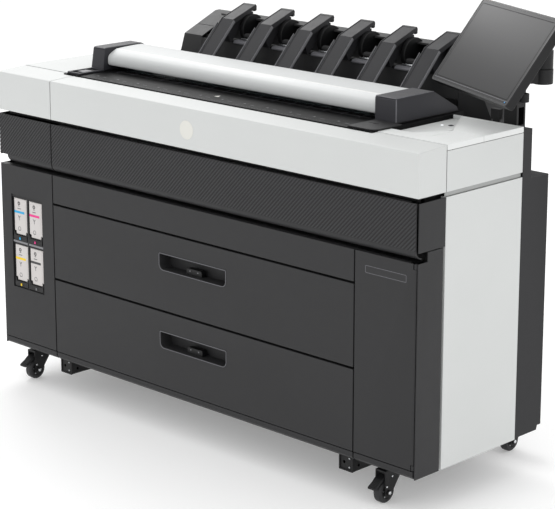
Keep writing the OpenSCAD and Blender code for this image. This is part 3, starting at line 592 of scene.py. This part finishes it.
ARM_PITCH = 154.8
ARM_X = [398 + ARM_PITCH * i for i in range(6)]
GUIDE_YZ = (590, 1036)
arms = Piece("stacker_arm_strips")
for x in ARM_X:
    # Sloping and top faces of each arm, with a fine raised line along both edges and a hooked end
    arms.prism("x", [(400, 940.6), (520, 1070.8), (521.5, 1069.4), (401.5, 939.2)], x + 3.5, x + 46.5, ARM)
    arms.prism("x", [(520.5, 1071.2), (608, 1104), (609, 1101.5), (521.5, 1068.6)], x + 3.5, x + 46.5, ARM)
    for edge in (x - 0.6, x + 47.6):
        arms.prism("x", [(399, 939.5), (520, 1072.4), (612, 1106.6), (614, 1098), (608, 1094), (527, 1060),
                         (413, 939.5)], edge, edge + 3, ARM)
    # Thin fins beside the arm, in light grey that paints the highlight along their lit edges
    for edge, (y, z) in ((x - 9, (510, 1060)), (x + 50.8, (519, 1070))):
        arms.prism("x", [(396.5, 938.8), (y, z), (y + 6, z - 6), (406, 938.8)], edge, edge + 1.6, BEZEL)
    arms.prism("x", [(606, 1104), (613, 1106.6), (617, 1101), (616, 1088), (609, 1086), (608, 1095)],
               x + 1, x + 49, METAL)
arms.done(MACHINE, "dark_metal", 0.6)

guides = Piece("stacker_guides")
for x in ARM_X:
    # Curved guide beside each arm: a black disc with a faint line round its face
    guides.prism("x", circle(*GUIDE_YZ, 45.6, 56), x + 50.4, x + 62.4, BLACK)
    guides.hoop("x", circle(*GUIDE_YZ, 44.2, 56), circle(*GUIDE_YZ, 42.6, 56), x + 62, x + 63, METAL)
guides.done(MACHINE, "dark_metal", 0.6)

flaps = Piece("stacker_flaps")
for x in ARM_X[:-1]:
    # Rounded flap on the front wall between two arms, a polished bar behind it and a rail above
    flaps.prism("x", [(513, 1003), (512, 1007), (515, 1011), (521, 1013), (530, 1013), (530, 1003)],
                x + 56, x + 150, STRIP)
    flaps.rod("x", x + 66, x + 150, (536, 1015), 4, BRIGHT, 16)
    flaps.prism("x", [(541, 1020), (541, 1027), (546, 1030), (556, 1030), (556, 1020)], x + 72, x + 150, METAL)
flaps.done(MACHINE, "dark_metal", 0.8)

# Tabs on the front wall, a black block that paints the shade of a recess in it, and a bracket beside the
# screen's post
trim = Piece("stacker_trim")
for i in range(5):
    x = 462 + ARM_PITCH * i
    trim.prism("y", rounded(x, x + 78, 1004.6, 1010, (0, 0, 2, 2), 2), 519.5, 524.5, HOUSING)
trim.prism("y", rounded(1246, 1296, 921, 951, 9), 507, 514, BLACK)
trim.box((1480, 418, 938), (1508, 432, 965), CAST)
trim.box((1484, 421, 801), (1504, 429, 939), CAST)
trim.done(MACHINE, "dark_metal", 0.8)


# ---- touch screen ----

tilt = JOINTS["screen_tilt"]
TURN = math.atan2(tilt["axis"][1], tilt["axis"][0])
LEAN = math.radians(36)
on_screen = (Matrix.Translation(Vector(tilt["pos_m"])) @ Matrix.Rotation(TURN, 4, "Z")
             @ Matrix.Rotation(-LEAN, 4, "X") @ Matrix.Scale(MM, 4))
FACE_Y = -52.5
# Half the screen's width and height, and the height of its middle over the tilt axis
HALF_X, HALF_Z, MID_Z = 202, 124, -3


def screen_outline(margin, r, low=0):
    """Outline of the screen, smaller by a margin all round and by low more at the bottom."""
    return rounded(-HALF_X + margin, HALF_X - margin,
                   MID_Z - HALF_Z + margin + low, MID_Z + HALF_Z - margin, r)


# Frame of the glass, a dark line inside it and the display
face = Piece("screen_face")
face.hoop("y", screen_outline(0.2, 8), screen_outline(4.5, 6), FACE_Y - 0.6, FACE_Y + 12, BORDER)
face.hoop("y", screen_outline(12, 2, 3), screen_outline(14.2, 1.5, 3), FACE_Y - 0.12, FACE_Y + 0.3, BED)
face.prism("y", screen_outline(14.2, 1.5, 3), FACE_Y - 0.1, FACE_Y + 0.3, DISPLAY)
# Lower edge of the glass: a fine light line above the lip
face.box((-197, FACE_Y - 0.5, -116), (197, FACE_Y + 0.3, -114.8), STRIP)
face.done("screen", "screen_case", 0.25, matrix=on_screen)
dot = Piece("screen_lamp")
dot.dome("y", FACE_Y - 0.5, FACE_Y - 1.1, (187, -118.5), 1.9, BLUE)
dot.done("screen", "screen_front", 0, matrix=on_screen)
# Raised field with dark vents on the back
back = Piece("screen_back")
back.taper("y", [(-31, rounded(-150, 150, -96, 88, 12)), (-27, rounded(-146, 146, -92, 84, 12))], CAST)
for i in range(12):
    back.box((-120 + 20 * i, -27.2, -84), (-112 + 20 * i, -26.4, -52), BLACK)
back.done("screen", "screen_case", 0.8, matrix=on_screen)


# ---- base, casters and back ----

# Each caster's swivel axis, the wheel's distance before it, and the height of the axle
CASTER_X, CASTER_Y = {"left": 64, "right": 1453}, {"front": 82, "rear": 593}
TRAIL, AXLE_Z = 25, 29
for end, y in CASTER_Y.items():
    for side, x in CASTER_X.items():
        name = end + "_" + side
        hub = Piece("caster_bolts_" + name)
        for s in (-1, 1):
            hub.dome("x", x + s * 20.6, x + s * 23.4, (y - TRAIL, AXLE_Z), 5, BRIGHT, 12)
            hub.dome("x", x + s * 17, x + s * 19, (y - 12, 70), 3, BRIGHT, 12)
            hub.dome("x", x + s * 17, x + s * 19, (y - 32, 46), 3, BRIGHT, 12)
        hub.hoop("z", circle(x, y, 23.6, 32), circle(x, y, 15, 32), 88, 96.5, STEEL)
        hub.done("caster_fork_%s_body" % name, "bare_steel", 0.3)
        rim = Piece("caster_rim_" + name)
        for s in (-1, 1):
            rim.hoop("x", circle(y - TRAIL, AXLE_Z, 19.2, 32), circle(y - TRAIL, AXLE_Z, 9.4, 32),
                     x + s * 8.8, x + s * 10.6, CAST)
            for i in range(5):
                a = math.radians(72 * i + 18)
                spot = (y - TRAIL + 14 * math.cos(a), AXLE_Z + 14 * math.sin(a))
                rim.rod("x", x + s * 10, x + s * 11.4, spot, 2.4, STEEL, 10)
        rim.done("caster_wheel_%s_body" % name, "wheel_tread", 0.2)
for side, x in CASTER_X.items():
    pedal = Piece("pedal_ribs_" + side)
    for i in range(4):
        y, z = CASTER_Y["front"] - 58 - 4 * i, 58.6 - 2.2 * i
        pedal.prism("x", [(y, z), (y + 2.2, z + 2), (y + 3.6, z + 1.4)], x - 11.4, x + 11.4, CAST)
    pedal.done("brake_pedal_%s_body" % side, "black_metal", 0)

# Frames and bolts on the front ends of the two box tubes
base = Piece("base_plates")
for x in (223, 1327):
    base.hoop("y", rounded(x - 1, x + 47, 63, 111.5, 2), rounded(x + 3, x + 43, 67, 107, 1), 27.5, 31, CAST)
    for dx, z in ((34, 98), (34, 74)):
        base.dome("y", 30.2, 27.6, (x + dx, z), 3, STEEL, 12)
base.done(MACHINE, "black_metal", 0.5)

# Screws of the back cover, and the power inlet with its frame and pins
INLET_X = 1434
rear = Piece("rear_fittings")
for i in range(1, 6):
    for z in (150, 780):
        rear.dome("y", 507.5, 510, (80 + 240 * i, z), 4.5, STEEL, 16)
for dx, low, high in ((-7.5, 256, 262), (0, 262, 267), (7.5, 256, 262)):
    rear.box((INLET_X + dx - 1, 488, low), (INLET_X + dx + 1, 502, high), BRIGHT)
rear.hoop("y", rounded(INLET_X - 22, INLET_X + 22, 240, 280, 4),
          rounded(INLET_X - 14, INLET_X + 14, 250, 270, 1), 507, 510.5, BLACK)
# Ring round the fan's grille
rear.hoop("y", circle(1180, 640, 46, 40), circle(1180, 640, 40.5, 40), 507, 510, CAST)
rear.done(MACHINE, "dark_metal", 0.4)


# ---- stage, lights and camera ----

# Pale floor of 60 m, half a millimetre under the wheels, that glows faintly to meet the white background
FLOOR_HALF, FLOOR_Z = 30, -0.0005
floor = bpy.data.objects.new("floor", bpy.data.meshes.new("floor"))
floor_corners = [(sx * FLOOR_HALF, sy * FLOOR_HALF, FLOOR_Z)
                 for sx, sy in ((-1, -1), (1, -1), (1, 1), (-1, 1))]
floor.data.from_pydata(floor_corners, [], [(0, 1, 2, 3)])
pale = moulded("pale_floor", "ebebeb", 0.9, 60, 0.02, 0.001, 0.05)
sockets = pale.node_tree.nodes["Principled BSDF"].inputs
sockets["Emission Color"].default_value = (1, 1, 1, 1)
sockets["Emission Strength"].default_value = 0.22
floor.data.materials.append(pale)
bpy.context.scene.collection.objects.link(floor)

world = bpy.data.worlds.new("studio")
bpy.context.scene.world = world
world.use_nodes = True
sky = world.node_tree.nodes["Background"].inputs
sky["Color"].default_value = (1, 1, 1, 1)
sky["Strength"].default_value = 1.06
bpy.context.scene.view_settings.view_transform = "Standard"


def area(name, place, target, size, power):
    """Round soft light that points at a target and that the camera doesn't see."""
    light = bpy.data.lights.new(name, "AREA")
    light.shape, light.size, light.energy = "DISK", size, power
    obj = bpy.data.objects.new(name, light)
    obj.location = place
    obj.rotation_euler = (Vector(target) - Vector(place)).to_track_quat("-Z", "Y").to_euler()
    obj.visible_camera = False
    bpy.context.scene.collection.objects.link(obj)


area("key", (-3.4, 1.6, 3.6), (-0.6, 0, 0.9), 2.4, 60)
area("fill", (4.6, -1.6, 2.6), (0, 0, 0.8), 3.0, 20)
area("front", (-1.5, -4.6, 2.8), (0, 0, 0.8), 3.0, 14)
# Small light whose reflection brightens the screen's upper left corner
area("glow", (-1.23, 0.46, 1.98), (0.6, 0.05, 1.15), 0.3, 1.7)

AZIMUTH, ELEVATION, LENS, SHIFT = 44.34, 13.67, 129.1, -0.1
cam = bpy.data.objects.new("camera", bpy.data.cameras.new("camera"))
cam.data.lens, cam.data.sensor_width, cam.data.shift_y = LENS, 36, SHIFT
cam.location = (3.678, -3.840, 1.931)
a, e = math.radians(AZIMUTH), math.radians(ELEVATION)
look = Vector((-math.sin(a) * math.cos(e), math.cos(a) * math.cos(e), -math.sin(e)))
cam.rotation_euler = look.to_track_quat("-Z", "Y").to_euler()
cam.data.clip_end = 100
bpy.context.scene.collection.objects.link(cam)
bpy.context.scene.camera = cam
